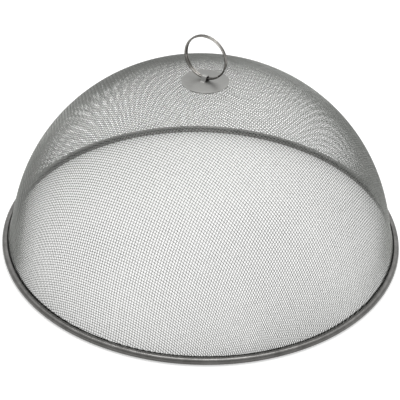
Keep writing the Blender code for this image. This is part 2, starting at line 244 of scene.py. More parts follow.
class RingSettings(bpy.types.PropertyGroup):
    """Split ring of flat spring wire."""
    diameter: metres("Diameter", "Outer diameter of the ring", 0.0390)
    width: metres("Width", "Width of one turn", 0.00115)
    depth: metres("Depth", "Depth of the wire from the ring's outside to its inside", 0.0016)
    rounding: metres("Rounding", "Radius of the wire's edges", 0.00030)
    turn_gap: metres("Turn Gap", "Gap between the two turns where they lie closest", 0.0001)
    spread: metres("Spread", "How much further apart the turns are where they lie widest", 0.0011)
    spread_heading: degrees("Spread Heading", "Where the turns lie widest apart", 190.0)
    jog_heading: degrees("Jog Heading", "Where the wire steps from one turn to the other", -32.0)
    jog_half: degrees("Jog Half", "Half the angle that the jog takes", 12.0)
    end_angle: degrees("End Angle", "Angle from the jog to each end of the wire", 4.0)
    steps: whole("Steps", "Steps in each turn", 120, 24)
    bright: tint("Bright Nickel", "Colour of polished nickel", "#d2cfca")
    dull: tint("Dull Nickel", "Colour of nickel in the scratches", "#3d3b39")


class StageSettings(bpy.types.PropertyGroup):
    """Floor, light and camera."""
    distance: metres("Distance", "Camera's distance from the origin", 1.07205)
    elevation: degrees("Elevation", "Camera's height angle", 36.274)
    heading: degrees("Heading", "Camera's turn about the cover's axis, from a view along +Y", 30.0)
    roll: degrees("Roll", "Camera's roll", -1.533)
    aim_across: metres("Aim Across", "Aim point's distance to the right of the origin", -0.001636)
    aim_up: metres("Aim Up", "Aim point's distance above the origin in the picture", 0.028592)
    lens: figure("Lens", "Focal length on a 36 mm sensor", 108.169, unit="CAMERA")
    floor: tint("Floor", "Colour of the floor", "#dededd")
    floor_lift: figure("Floor Lift", "Light that the floor shows the camera by itself", 0.46)
    zenith: figure("Zenith", "Brightness of the studio overhead", 0.9)
    horizon: figure("Horizon", "Brightness of the studio's walls", 0.42)
    slant: figure("Slant", "How much brighter the right wall is than the middle, as a share", 0.12)
    rear: figure("Rear", "How much brighter the back wall is than the middle, as a share", 0.35)
    key: figure("Key Lamp", "Power of the large lamp over the cover", 14.0, subtype="POWER")


def surface_mesh(name, points, faces):
    """Smooth mesh from an array of points and a list of face arrays, each with its own corner count."""
    corners = np.concatenate([face.ravel() for face in faces])
    counts = np.concatenate([np.full(len(face), face.shape[1]) for face in faces])
    starts = np.concatenate(([0], np.cumsum(counts)[:-1]))
    mesh = bpy.data.meshes.new(name)
    mesh.vertices.add(len(points))
    mesh.vertices.foreach_set("co", points.astype(np.float32).ravel())
    mesh.loops.add(len(corners))
    mesh.loops.foreach_set("vertex_index", corners.astype(np.int32))
    mesh.polygons.add(len(counts))
    mesh.polygons.foreach_set("loop_start", starts.astype(np.int32))
    mesh.polygons.foreach_set("use_smooth", np.ones(len(counts), dtype=bool))
    mesh.update(calc_edges=True)
    mesh.validate()
    return mesh


def lay_map(mesh, name, corners):
    """Give the mesh a UV map from an array with one place for each face corner."""
    layer = mesh.uv_layers.new(name=name)
    layer.uv.foreach_set("vector", corners.astype(np.float32).ravel())


def lay_tone(mesh, name, values):
    """Give the mesh a number at each point, for its material to read."""
    layer = mesh.attributes.new(name, "FLOAT", "POINT")
    layer.data.foreach_set("value", values.astype(np.float32))


def add_piece(mesh, body, nodes, material):
    """Put a finished mesh into the scene as a piece of the cover that stands for CAD nodes."""
    piece = bpy.data.objects.new(mesh.name, mesh)
    bpy.context.scene.collection.objects.link(piece)
    mesh.materials.append(material)
    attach(piece, body)
    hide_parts(*nodes)
    return piece


def tube_faces(here, there, sides):
    """Quads of a tube between rings numbered here and there, each ring with that many points."""
    side = np.arange(sides)[None]
    beside = (side + 1) % sides
    here = here[:, None] * sides
    there = there[:, None] * sides
    return np.stack([here + side, there + side, there + beside, here + beside], axis=-1).reshape(-1, 4)


def carry_outline(path, side, up, outline):
    """Carry a closed outline along a path.

    Point (k, m) is path[k] + outline[m, 0] * side[k] + outline[m, 1] * up[k], where side is the
    path's direction crossed with up, and the outline turns from side towards up.
    """
    return (path[:, None] + outline[None, :, :1] * side[:, None]
            + outline[None, :, 1:] * up[:, None]).reshape(-1, 3)


def unit(vectors):
    """The vectors, each divided by its length."""
    return vectors / np.linalg.norm(vectors, axis=-1, keepdims=True)


def round_points(turn):
    """Points of a circle of radius 1: (cos(turn), sin(turn))."""
    return np.stack([np.cos(turn), np.sin(turn)], axis=-1)


def dome_section(reach):
    """Radius, height and length along the half section of the cloth's middle surface, and its length.

    From crown to edge the curve is radius = side * sin(t) ** (2 / side power) and height =
    edge + rise * cos(t) ** (2 / crown power). A flare that dies away upwards is added to the radius,
    and a smooth minimum presses the crown flat. Past the edge the curve runs straight for the reach.
    """
    turn = np.linspace(0.0, math.pi / 2, SECTION_SAMPLES)
    height = CLOTH_EDGE_HEIGHT + (CROWN_HEIGHT - CLOTH_EDGE_HEIGHT) * np.cos(turn) ** (2 / CROWN_POWER)
    height[-1] = CLOTH_EDGE_HEIGHT
    radius = CLOTH_SIDE_RADIUS * np.sin(turn) ** (2 / SIDE_POWER)
    radius += FLARE_WIDTH * np.exp((CLOTH_EDGE_HEIGHT - height) / FLARE_FADE)
    radius[0] = 0.0
    height = CLOTH_SEAT_HEIGHT - SEAT_BLEND * np.logaddexp(0.0, (CLOTH_SEAT_HEIGHT - height) / SEAT_BLEND)
    height[-1] = CLOTH_EDGE_HEIGHT
    length = np.concatenate(([0.0], np.cumsum(np.hypot(np.diff(radius), np.diff(height)))))
    run = unit(np.array([radius[-1] - radius[-3], height[-1] - height[-3]]))
    radius = np.append(radius, radius[-1] + reach * run[0])
    height = np.append(height, height[-1] + reach * run[1])
    return radius, height, np.append(length, length[-1] + reach), length[-1]


def turn_about_axis(flat, length, out, up):
    """Section values at the flat points' distance from the crown, turned to their heading."""
    distance = np.hypot(flat[..., 0], flat[..., 1])
    heading = np.arctan2(flat[..., 1], flat[..., 0])
    out = np.interp(distance, length, out)
    up = np.interp(distance, length, up)
    return np.stack([out * np.cos(heading), out * np.sin(heading), up], axis=-1)


def place_on_dome(flat, section):
    """Carry flat points, at their distance from the crown along the cloth, onto the dome."""
    radius, height, length, _ = section
    return turn_about_axis(flat, length, radius, height)


def face_of_dome(flat, section):
    """Outward direction of the dome at flat points: the section's slope turned a quarter outwards."""
    radius, height, length, _ = section
    slope = unit(np.stack([np.gradient(radius, length), np.gradient(height, length)], axis=-1))
    return unit(turn_about_axis(flat, length, -slope[:, 1], slope[:, 0]))


def cloth_net(pitch):
    """Crossings of a woven cloth laid over the dome from its crown, for one quarter.

    The wires don't stretch, so every cell keeps four equal sides and only shears. The two wires
    through the crown follow the section. Each further crossing lies one pitch from its two
    neighbours, which a few Newton steps find for a whole diagonal of the quarter at once.
    """
    section = dome_section(SPARE_PITCHES * pitch)
    edge_length = section[3]
    count = int(edge_length / pitch) + SPARE_PITCHES
    flat = np.full((count, count, 2), np.nan)
    along = np.arange(count) * pitch
    flat[:, 0] = np.stack([along, np.zeros(count)], axis=-1)
    flat[0, :] = np.stack([np.zeros(count), along], axis=-1)
    nudge = pitch * NUDGE_SHARE
    for diagonal in range(2, 2 * count - 1):
        row = np.arange(max(1, diagonal - count + 1), min(diagonal, count))
        column = diagonal - row
        behind = flat[row - 1, column - 1]
        inside = np.hypot(behind[:, 0], behind[:, 1]) <= edge_length
        inside &= ~np.isnan(flat[row, column - 1, 0]) & ~np.isnan(flat[row - 1, column, 0])
        row = row[inside]
        column = column[inside]
        if len(row) == 0:
            continue
        sides = (flat[row, column - 1], flat[row - 1, column])
        spots = [place_on_dome(side, section) for side in sides]
        guess = sides[0] + sides[1] - flat[row - 1, column - 1]
        for _ in range(NET_ROUNDS):
            here = place_on_dome(guess, section)
            steps = [place_on_dome(guess + way, section) - here for way in ((nudge, 0.0), (0.0, nudge))]
            error = np.stack([np.sum((here - spot) ** 2, axis=-1) - pitch ** 2 for spot in spots], axis=-1)
            slope = np.stack([np.stack([np.sum(2 * (here - spot) * step, axis=-1) / nudge
                                        for step in steps], axis=-1) for spot in spots], axis=-2)
            guess = guess - np.linalg.solve(slope, error[..., None])[..., 0]
        flat[row, column] = guess
    return flat, section


def whole_net(quarter):
    """The quarter's crossings mirrored to all four, as rows of constant second index."""
    count = len(quarter)
    number = np.arange(1 - count, count)
    flat = quarter[np.abs(number)[None, :], np.abs(number)[:, None]]
    return flat * np.stack(np.broadcast_arrays(np.sign(number)[None, :], np.sign(number)[:, None]), axis=-1)


def wire_paths(flat, section, pitch, lift, over):
    """Centre lines of all wires of one direction, each row of the net being one wire.

    Each wire passes over and under its neighbours in turn, so its centre line stands off the cloth's
    middle surface by plus or minus the lift at the crossings. Its two ends lie on the cloth's edge.
    Gives the points, the outward directions there, and each point's row.
    """
    edge_length = section[3]
    distance = np.hypot(flat[..., 0], flat[..., 1])
    inside = distance <= edge_length - LAST_STRETCH_SHARE * pitch
    ends = np.zeros_like(inside)
    for step in (-1, 1):
        beyond = np.roll(inside, step, axis=1) & ~inside
        near = np.roll(flat, step, axis=1)
        reach = np.roll(distance, step, axis=1)
        share = np.zeros_like(distance)
        np.divide(edge_length - reach, distance - reach, out=share, where=beyond)
        flat = np.where(beyond[..., None], near + share[..., None] * (flat - near), flat)
        ends |= beyond
    rows, columns = np.nonzero(inside | ends)
    kept = flat[rows, columns]
    parity = np.where((rows + columns) % 2 == 0, over, -over) * inside[rows, columns]
    outward = face_of_dome(kept, section)
    return place_on_dome(kept, section) + outward * (lift * parity)[:, None], outward, rows


def wire_strips(length, first, last, turn):
    """Picture map of a band: for each wire a strip as long as the wire and as tall as its turn.

    Length is each point's distance from the one before. A wire's closed ends are small round patches
    just past the two ends of its strip.
    """
    along = np.cumsum(length)
    strip = np.cumsum(first) - 1
    along = along - along[first][strip]
    u = 0.5 + (1.0 - 2 * MAP_MARGIN) * (along - along[last][strip] / 2) / along.max()
    strips = strip.max() + 1
    low = (strip + STRIP_MARGIN) / strips
    tall = (1.0 - 2 * STRIP_MARGIN) / strips
    here = np.flatnonzero(~last)
    rise = np.arange(len(turn))
    quad_u = np.stack([u[here], u[here + 1], u[here + 1], u[here]], axis=-1)[:, None]
    quad_v = low[here][:, None, None] + tall * np.stack([rise, rise, rise + 1, rise + 1], axis=-1) / len(turn)
    corners = [np.stack(np.broadcast_arrays(quad_u, quad_v), axis=-1).reshape(-1, 2)]
    for ends, turned, way in ((first, turn, -1.0), (last, turn[::-1], 1.0)):
        end_u = u[ends][:, None] + way * (WIRE_END_OFFSET + WIRE_END_HALF * np.cos(turned))
        end_v = low[ends][:, None] + tall * (0.5 + WIRE_END_HEIGHT * np.sin(turned))
        corners.append(np.stack([end_u, end_v], axis=-1).reshape(-1, 2))
    return np.concatenate(corners)


def wire_band(name, points, outward, rows, wire, sides, tone):
    """Mesh of the wires in one band: round tubes with closed ends, each row's points being one wire."""
    first = np.append(True, rows[1:] != rows[:-1])
    last = np.append(first[1:], True)
    number = np.arange(len(points))
    ahead = np.where(last, number, number + 1)
    behind = np.where(first, number, number - 1)
    run = unit(points[ahead] - points[behind])
    side = unit(np.cross(run, outward))
    up = np.cross(side, run)
    turn = (np.arange(sides) + 0.5) * 2 * math.pi / sides
    here = np.flatnonzero(~last)
    corner = np.arange(sides)[None]
    start_caps = np.flatnonzero(first)[:, None] * sides + corner
    end_caps = (np.flatnonzero(last)[:, None] * sides + corner)[:, ::-1]
    mesh = surface_mesh(name, carry_outline(points, side, up, wire / 2 * round_points(turn)),
                        [tube_faces(here, here + 1, sides), start_caps, end_caps])
    length = np.linalg.norm(points - points[behind], axis=-1)
    lay_map(mesh, PICTURE_MAP, wire_strips(length, first, last, turn))
    lay_tone(mesh, "tone", np.repeat(tone, sides))
    return mesh


def slow_noise(places, seed):
    """Smooth numbers about 0: the mean of plane cosine waves of random heading, length and phase."""
    chance = np.random.default_rng(seed)
    heading = unit(chance.normal(size=(TONE_WAVES, 3)))
    length = TONE_SHORTEST_WAVE * chance.uniform(1.0, TONE_WAVE_RANGE, TONE_WAVES)
    count = 2 * math.pi / length
    phase = chance.uniform(0.0, 2 * math.pi, TONE_WAVES)
    return np.cos(places @ (heading * count[:, None]).T + phase).mean(axis=1)


def add_node(tree, kind, values=None, links=None, **settings):
    """Add a node with its settings, the values of its inputs and the sockets linked to them."""
    made = tree.nodes.new(kind)
    for name, value in settings.items():
        setattr(made, name, value)
    for name, value in (values or {}).items():
        made.inputs[name].default_value = value
    for name, source in (links or {}).items():
        tree.links.new(source, made.inputs[name])
    return made


def new_material(name, metallic=1.0):
    """Material that is a metal or not; gives it with its node tree and shader."""
    material = bpy.data.materials.new(name)
    material.use_nodes = True
    tree = material.node_tree
    shader = tree.nodes["Principled BSDF"]
    shader.inputs["Metallic"].default_value = metallic
    return material, tree, shader


def streaks(tree, place, grains, **values):
    """Noise that is stretched along an axis, from the number of its grains to the metre along each."""
    stretch = add_node(tree, "ShaderNodeMapping", {"Scale": grains}, {"Vector": place})
    return add_node(tree, "ShaderNodeTexNoise", {"Scale": 1.0, **values},
                    {"Vector": stretch.outputs[0]}).outputs["Fac"]


def blotches(tree, spots, **values):
    """Noise that is the same every way, from the number of its spots to the metre."""
    place = add_node(tree, "ShaderNodeTexCoord")
    return add_node(tree, "ShaderNodeTexNoise", {"Scale": spots, **values},
                    {"Vector": place.outputs["Object"]}).outputs["Fac"]


def add_wear(tree, pattern, strength, name):
    """The pattern times its strength, plus the number that the mesh has under that name."""
    wear = add_node(tree, "ShaderNodeAttribute", attribute_name=name)
    return add_node(tree, "ShaderNodeMath", {1: strength}, {0: pattern, 2: wear.outputs["Fac"]},
                    operation="MULTIPLY_ADD").outputs[0]


def polish(tree, shader, share, dull, bright, rough, smooth):
    """Take a metal from dull and rough to bright and smooth as the share goes from 0 to 1."""
    colour = add_node(tree, "ShaderNodeMix", {6: (*dull, 1.0), 7: (*bright, 1.0)}, {"Factor": share},
                      data_type="RGBA")
    tree.links.new(colour.outputs[2], shader.inputs["Base Color"])
    roughness = add_node(tree, "ShaderNodeMapRange", {"To Min": rough, "To Max": smooth}, {"Value": share})
    tree.links.new(roughness.outputs[0], shader.inputs["Roughness"])
    return colour


def drawn_wire_steel(cloth):
    """Plain steel wire, drawn and woven: satin all round, some wires brighter than their neighbours."""
    material, tree, shader = new_material("drawn_wire_steel")
    # Spots of oxide some 3 mm across, coarser than the real ones so that they show
    spots = blotches(tree, 320.0, Detail=3.0)
    polish(tree, shader, add_wear(tree, spots, 0.45, "tone"), cloth.dull, cloth.bright, 0.46, 0.30)
    return material


class MESHCOVER_OT_weave_cloth(bpy.types.Operator):
    """Weave the dome's wire cloth"""
    bl_idname = "mesh_cover.weave_cloth"
    bl_label = "Weave Cloth"

    def execute(self, context):
        cloth = context.scene.mesh_cover_cloth
        material = drawn_wire_steel(cloth)
        quarter, section = cloth_net(cloth.pitch)
        warp = whole_net(quarter)
        directions = (("warp_wires", warp, 1.0), ("weft_wires", np.swapaxes(warp, 0, 1), -1.0))
        for seed, (name, flat, over) in enumerate(directions):
            points, outward, rows = wire_paths(flat, section, cloth.pitch, cloth.wire / 2, over)
            chance = np.random.default_rng(seed)
            wire_tone = chance.normal(0.0, TONE_BY_WIRE, rows.max() + 1)
            tone = TONE_MIDDLE + wire_tone[rows] + TONE_ALONG_WIRE * slow_noise(points, seed)
            # A wire goes to the band that holds its first point
            order = np.searchsorted(np.linspace(0, len(rows), cloth.bands + 1)[1:-1],
                                    np.searchsorted(rows, rows), side="right")
            for band in range(cloth.bands):
                chosen = order == band
                mesh = wire_band("%s_%d" % (name, band + 1), points[chosen], outward[chosen],
                                 rows[chosen], cloth.wire, cloth.sides, tone[chosen])
                add_piece(mesh, "cover", ["mesh_dome"], material)
        return {"FINISHED"}


def swept_mesh(name, path, side, up, outline, closed):
    """Mesh of a closed outline carried along a path, as carry_outline says, with its two maps.

    A closed path meets its own start; an open one ends in flat faces. The run map holds metres along
    the path and round the outline, and the picture map the same places as shares of the whole.
    """
    rings = len(path)
    sides = len(outline)
    here = np.arange(rings if closed else rings - 1)
    corner = np.arange(sides)
    faces = [tube_faces(here, (here + 1) % rings, sides)]
    if not closed:
        faces += [corner[None], ((rings - 1) * sides + corner)[None, ::-1]]
    mesh = surface_mesh(name, carry_outline(path, side, up, outline), faces)

    loop = np.append(path, path[:1], axis=0) if closed else path
    along = np.append(0.0, np.cumsum(np.linalg.norm(np.diff(loop, axis=0), axis=-1)))
    across = np.append(0.0, np.cumsum(np.linalg.norm(np.diff(outline, axis=0, append=outline[:1]), axis=-1)))
    u = np.stack([along[here], along[here + 1], along[here + 1], along[here]], axis=-1)[:, None]
    v = np.stack([across[:-1], across[:-1], across[1:], across[1:]], axis=-1)[None]
    run = np.stack(np.broadcast_arrays(u, v), axis=-1).reshape(-1, 2)
    picture = MAP_MARGIN + (1.0 - 2 * MAP_MARGIN) * run / (along[-1], across[-1])
    if not closed:
        small = outline / np.abs(outline).max() * SWEPT_END_HALF
        run = np.concatenate([run, outline, outline[::-1]])
        picture = np.concatenate([picture, small + (SWEPT_END_PLACE, 0.5),
                                  small[::-1] + (1.0 - SWEPT_END_PLACE, 0.5)])
    lay_map(mesh, RUN_MAP, run)
    lay_map(mesh, PICTURE_MAP, picture)
    return mesh


def arc(centre, radius, start, facets):
    """Points of a quarter circle in a section plane, from its start in degrees from outwards."""
    return np.array(centre) + radius * round_points(np.radians(np.linspace(start, start + 90.0, facets + 1)))


def rim_outline(rim):
    """Closed section of the rolled sheet, and how much each of its points is rubbed.

    The outer face runs from the lip's top down the inner side, under the foot, up the outer side and
    over the curl. The inner face is the same line moved in by the sheet's thickness, and half circles
    join them. The outer face is lightened by ((1 + u) / 2) ** 2, where u is how far it looks up, -1
    to 1: a painted highlight on top and painted shade underneath. The sheared edges are rubbed
    bright, and the inner face stays dull.
    """
    inner = RIM_OUTER_RADIUS - rim.width
    curl_inner = inner + rim.sheet + rim.slot
    corner_in = inner + rim.corner
    corner_out = RIM_OUTER_RADIUS - rim.corner
    outer = np.concatenate([
        [(inner, rim.lip_height)],
        arc((corner_in, rim.corner), rim.corner, 180.0, CORNER_FACETS),
        arc((corner_out, rim.corner), rim.corner, 270.0, CORNER_FACETS),
        arc((corner_out, RIM_TOP - rim.corner), rim.corner, 0.0, CORNER_FACETS),
        arc((curl_inner + rim.curl, RIM_TOP - rim.curl), rim.curl, 90.0, CURL_FACETS),
        [(curl_inner, RIM_TOP - rim.curl_depth)]])
    run = unit(np.gradient(outer, axis=0))
    away = np.stack([run[:, 1], -run[:, 0]], axis=-1)
    inside = outer - rim.sheet * away
    half = rim.sheet / 2
    turn = SHEARED_EDGE_TURNS
    curl_edge = (outer[-1] + inside[-1]) / 2 + half * (np.cos(turn) * away[-1] + np.sin(turn) * run[-1])
    lip_edge = (outer[0] + inside[0]) / 2 - half * (np.cos(turn) * away[0] + np.sin(turn) * run[0])
    # Painted highlight on the faces that look up and painted shade on those that look down; real rub on the
    # sheared edges
    wear_and_shading = np.concatenate([(0.5 + 0.5 * away[:, 1]) ** 2, np.full(len(curl_edge), CURL_EDGE_RUB),
                             np.zeros(len(inside)), np.full(len(lip_edge), LIP_EDGE_RUB)])
    return np.concatenate([outer, curl_edge, inside[::-1], lip_edge]), wear_and_shading


def rolled_sheet_steel(rim):
    """Cold rolled strip, rolled again round a wire: satin, fine lines along it, painted light on top and dark
    below, edges rubbed bright.
    """
    material, tree, shader = new_material("rolled_sheet_steel")
    run = add_node(tree, "ShaderNodeUVMap", uv_map=RUN_MAP)
    # Roll lines about 0.7 mm apart and 40 mm long, some three times coarser than the real ones
    lines = streaks(tree, run.outputs[0], (25.0, 1400.0, 1.0), Detail=3.0, Roughness=0.6)
    # Handling marks some 12 mm across
    marks = blotches(tree, 85.0, Detail=4.0, Roughness=0.65)
    # The tone holds painted shading, light where the rim faces up and dark where it faces down, and the rub
    # of its sheared edges
    wear_and_shading = add_wear(tree, lines, 0.5, "wear_and_shading")
    share = add_node(tree, "ShaderNodeMath", {}, {0: wear_and_shading, 1: marks}, operation="MULTIPLY")
    polish(tree, shader, share.outputs[0], rim.dull, rim.bright, 0.48, 0.30)
    relief = add_node(tree, "ShaderNodeBump", {"Strength": 0.25, "Distance": 0.00005}, {"Height": lines})
    tree.links.new(relief.outputs[0], shader.inputs["Normal"])
    return material


def plain_hoop_steel(rim):
    """Hard drawn wire as it came off the coil: dark satin with draw lines, seen in the slot and joint."""
    material, tree, shader = new_material("plain_hoop_steel")
    run = add_node(tree, "ShaderNodeUVMap", uv_map=RUN_MAP)
    # Draw lines about 0.5 mm apart and 30 mm long, coarser than the real ones so that they show
    lines = streaks(tree, run.outputs[0], (33.0, 2000.0, 1.0), Detail=3.0)
    polish(tree, shader, lines, rim.hoop_steel, rim.dull, 0.55, 0.38)
    return material


def round_the_axis(heading, radius, height):
    """Points round the Z axis with their outward and upward directions, from an array of headings."""
    outward = np.stack([np.cos(heading), np.sin(heading), np.zeros(len(heading))], axis=-1)
    path = outward * radius + (0.0, 0.0, height)
    return path, outward, np.broadcast_to((0.0, 0.0, 1.0), path.shape)


def waver_rim(mesh, heading, outward, waver):
    """Move the rim's points out and up by waver * their share of the rim's height * a swing.

    The swing is half the sum of the waves' cosines, less 1, so that the rim seldom leaves its outline.
    """
    points = np.empty(len(mesh.vertices) * 3, np.float32)
    mesh.vertices.foreach_get("co", points)
    points = points.reshape(len(heading), -1, 3).astype(float)
    waves = WAVER_WAVES[:, 0] * heading[:, None]
    swing_out, swing_up = [np.cos(waves + WAVER_WAVES[:, 1] * turn).sum(axis=1) / 2 - 1.0 for turn in (1, 3)]
    lift = points[..., 2:] / RIM_TOP * waver
    points += lift * (outward * swing_out[:, None])[:, None]
    points[..., 2:] += lift * swing_up[:, None, None]
    mesh.vertices.foreach_set("co", points.astype(np.float32).ravel())
    mesh.update()


class MESHCOVER_OT_roll_rim(bpy.types.Operator):
    """Roll the rim round its hoop wire"""
    bl_idname = "mesh_cover.roll_rim"
    bl_label = "Roll Rim"

    def execute(self, context):
        rim = context.scene.mesh_cover_rim
        outline, wear_and_shading = rim_outline(rim)
        half_joint = rim.joint / 2 / RIM_OUTER_RADIUS
        heading = rim.joint_heading + np.linspace(half_joint, 2 * math.pi - half_joint, rim.steps + 1)
        path, outward, up = round_the_axis(heading, RIM_OUTER_RADIUS, 0.0)
        mesh = swept_mesh("rim_band", path, outward, up, outline - (RIM_OUTER_RADIUS, 0.0), closed=False)
        # Painted shading by how each face looks, with the rub of the sheared edges, for the material to read
        lay_tone(mesh, "wear_and_shading", np.tile(wear_and_shading, len(heading)))
        waver_rim(mesh, heading, outward, rim.waver)
        add_piece(mesh, "cover", ["rim_band"], rolled_sheet_steel(rim))

        low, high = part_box("rim_wire")
        heading = np.arange(rim.steps) * 2 * math.pi / rim.steps
        path, outward, up = round_the_axis(heading, high.x - rim.hoop / 2, (low.z + high.z) / 2)
        outline = rim.hoop / 2 * round_points(np.arange(HOOP_SIDES) * 2 * math.pi / HOOP_SIDES)
        mesh = swept_mesh("rim_wire", path, outward, up, outline, closed=True)
        add_piece(mesh, "cover", ["rim_wire"], plain_hoop_steel(rim))
        return {"FINISHED"}


def strap_height(along, plate):
    """Rise of the strap over the plate: flat on top, then half a cosine wave down each side."""
    fall = np.clip((np.abs(along) - plate.strap_flat_half) / (plate.strap_half_span - plate.strap_flat_half),
                   0.0, 1.0)
    return plate.strap_rise * (0.5 + 0.5 * np.cos(math.pi * fall))


def disc_mesh(name, across, along, cells, rise, radius, plate, way, height, dish, welds):
    """Round disc about a patch of grid lines, dished, with its edge drawn towards the cloth.

    The patch's outline is carried out to a circle: outline * (1 - t) + circle * t. Over its edge the
    disc leaves its plane by drop * (1 - cos(pi * s)) / 2, and the dish adds depth * (distance /
    radius) ** 2. Way is -1 where the cloth lies below the disc and 1 where it lies above. Welds is 1
    for four prints that press the patch in by depth / (1 + (distance / radius) ** print power), and
    0 for none.
    """
    edge = plate.edge
    grid_x, grid_y = np.meshgrid(across, along, indexing="ij")
    from_weld = np.hypot(np.abs(grid_x) - plate.weld_place, np.abs(grid_y) - plate.weld_place)
    rise = rise + way * welds * plate.weld_depth / (1 + (from_weld / plate.weld_radius) ** PRINT_POWER)
    patch = np.stack([grid_x, grid_y, rise], axis=-1).reshape(-1, 3)
    number = np.arange(len(patch)).reshape(grid_x.shape)
    quads = np.stack([number[:-1, :-1], number[1:, :-1], number[1:, 1:], number[:-1, 1:]], axis=-1)[cells]
    loop = np.concatenate([number[:-1, 0], number[-1, :-1], number[:0:-1, -1], number[0, :0:-1]])
    outline = patch[loop][:, :2]
    circle = unit(outline)
    share = np.linspace(0.0, 1.0, SPREAD_RINGS + 1)[1:, None, None]
    flat = outline * (1 - share) + circle * (radius - edge) * share
    turn = np.linspace(0.0, 1.0, DRAWN_EDGE_RINGS + 1)[1:, None, None]
    spokes = np.concatenate([flat, circle * (radius - edge + edge * turn)])
    drop = plate.turn_down * way * (1 - np.cos(math.pi * turn)) / 2
    fall = np.concatenate([np.zeros(len(flat)), drop.ravel()])
    outer = np.concatenate([spokes, np.broadcast_to(fall[:, None, None], (*spokes.shape[:2], 1))], axis=-1)
    rings = len(patch) + np.arange(outer.shape[0] * len(loop)).reshape(-1, len(loop))
    rows = np.concatenate([loop[None], rings])
    beside = np.roll(rows, -1, axis=1)
    spread = np.stack([rows[:-1], rows[1:], beside[1:], beside[:-1]], axis=-1).reshape(-1, 4)
    points = np.concatenate([patch, outer.reshape(-1, 3)]) + (0.0, 0.0, height)
    from_middle = np.hypot(points[:, 0], points[:, 1])
    points[:, 2] += way * dish * (from_middle / radius) ** 2
    mesh = surface_mesh(name, points, [quads, spread])

    # The edge is rubbed by exp(-(distance from it) / edge), and the strap all over
    wear_and_shading = PLATE_EDGE_RUB * np.exp((from_middle - radius) / edge)
    lay_tone(mesh, "wear_and_shading", wear_and_shading + STRAP_RUB * (points[:, 2] > height + edge))
    # The heat film is a ring round each print: exp(-((distance / radius - place) / reach) ** 2)
    from_weld = np.hypot(*(np.abs(points[:, :2].T) - plate.weld_place)) / plate.weld_radius
    lay_tone(mesh, "heated", welds * np.exp(-((from_weld - HEAT_PLACE) / HEAT_REACH) ** 2))
    return mesh


def give_wall(piece, sheet):
    """Give a pressed plate its thickness downwards, and break its sheared edges."""
    wall = piece.modifiers.new("wall", "SOLIDIFY")
    wall.thickness = sheet
    wall.offset = -1.0
    wall.use_even_offset = True
    edges = piece.modifiers.new("edges", "BEVEL")
    edges.width = sheet * BROKEN_EDGE_SHARE
    edges.segments = 2
    edges.limit_method = "ANGLE"
    edges.angle_limit = BROKEN_EDGE_ANGLE
    edges.harden_normals = True


def pressed_sheet_steel(plate):
    """Mill finish sheet, blanked and pressed: soft straight grain, dull patches, edges rubbed bright."""
    material, tree, shader = new_material("pressed_sheet_steel")
    place = add_node(tree, "ShaderNodeTexCoord")
    # Mill grain along X, 0.6 mm apart and 12 mm long, about twice as coarse as the real one
    grain = streaks(tree, place.outputs["Object"], (80.0, 1600.0, 1600.0), Detail=3.0)
    # Dull patches some 7 mm across
    patches = blotches(tree, 140.0, Detail=4.0, Roughness=0.6)
    wear_and_shading = add_wear(tree, grain, 0.45, "wear_and_shading")
    share = add_node(tree, "ShaderNodeMath", {1: 0.5}, {0: patches, 2: wear_and_shading}, operation="MULTIPLY_ADD")
    colour = polish(tree, shader, share.outputs[0], plate.dull, plate.bright, 0.50, 0.36)
    # A straw coloured film where the welding tips heated the sheet
    heated = add_node(tree, "ShaderNodeAttribute", attribute_name="heated")
    colour = add_node(tree, "ShaderNodeMix", {7: (*plate.heated, 1.0)},
                      {"Factor": heated.outputs["Fac"], 6: colour.outputs[2]}, data_type="RGBA")
    tree.links.new(colour.outputs[2], shader.inputs["Base Color"])
    relief = add_node(tree, "ShaderNodeBump", {"Strength": 0.2, "Distance": 0.00004}, {"Height": grain})
    tree.links.new(relief.outputs[0], shader.inputs["Normal"])
    return material


class MESHCOVER_OT_press_plates(bpy.types.Operator):
    """Press the top plate with its bridge strap, and the inner plate"""
    bl_idname = "mesh_cover.press_plates"
    bl_label = "Press Plates"

    def execute(self, context):
        plate = context.scene.mesh_cover_plate
        material = pressed_sheet_steel(plate)
        half = plate.strap_width / 2
        slit = half + plate.kerf
        span = plate.strap_half_span
        pad = PATCH_SHARE * span
        side = np.linspace(slit, pad, SIDE_LINES)
        across = np.concatenate([-side[::-1], np.linspace(-half, half, STRAP_LINES), side])
        beyond = np.linspace(span, pad, BEYOND_LINES)
        along = np.concatenate([-beyond[:0:-1], np.linspace(-span, span, SPAN_LINES), beyond[1:]])
        # The cells of the two slits are left open
        middle_x = np.abs((across[1:] + across[:-1]) / 2)[:, None]
        middle_y = np.abs((along[1:] + along[:-1]) / 2)[None]
        cells = ~((middle_x > half) & (middle_x < slit) & (middle_y < span))
        rise = np.where(np.abs(across)[:, None] < (half + slit) / 2, strap_height(along, plate)[None], 0.0)
        mesh = disc_mesh("top_plate", across, along, cells, rise, plate.radius, plate, -1.0,
                         PLATE_UNDERSIDE + plate.sheet, plate.dish, 0.0)
        give_wall(add_piece(mesh, "cover", ["top_plate"], material), plate.sheet)

        lines = np.linspace(-pad, pad, INNER_CELLS + 1)
        cells = np.ones((INNER_CELLS, INNER_CELLS), bool)
        mesh = disc_mesh("inner_plate", lines, lines, cells, 0.0, plate.inner_radius, plate, 1.0,
                         INNER_PLATE_TOP, plate.inner_dish, 1.0)
        give_wall(add_piece(mesh, "cover", ["inner_plate"], material), plate.sheet)
        return {"FINISHED"}


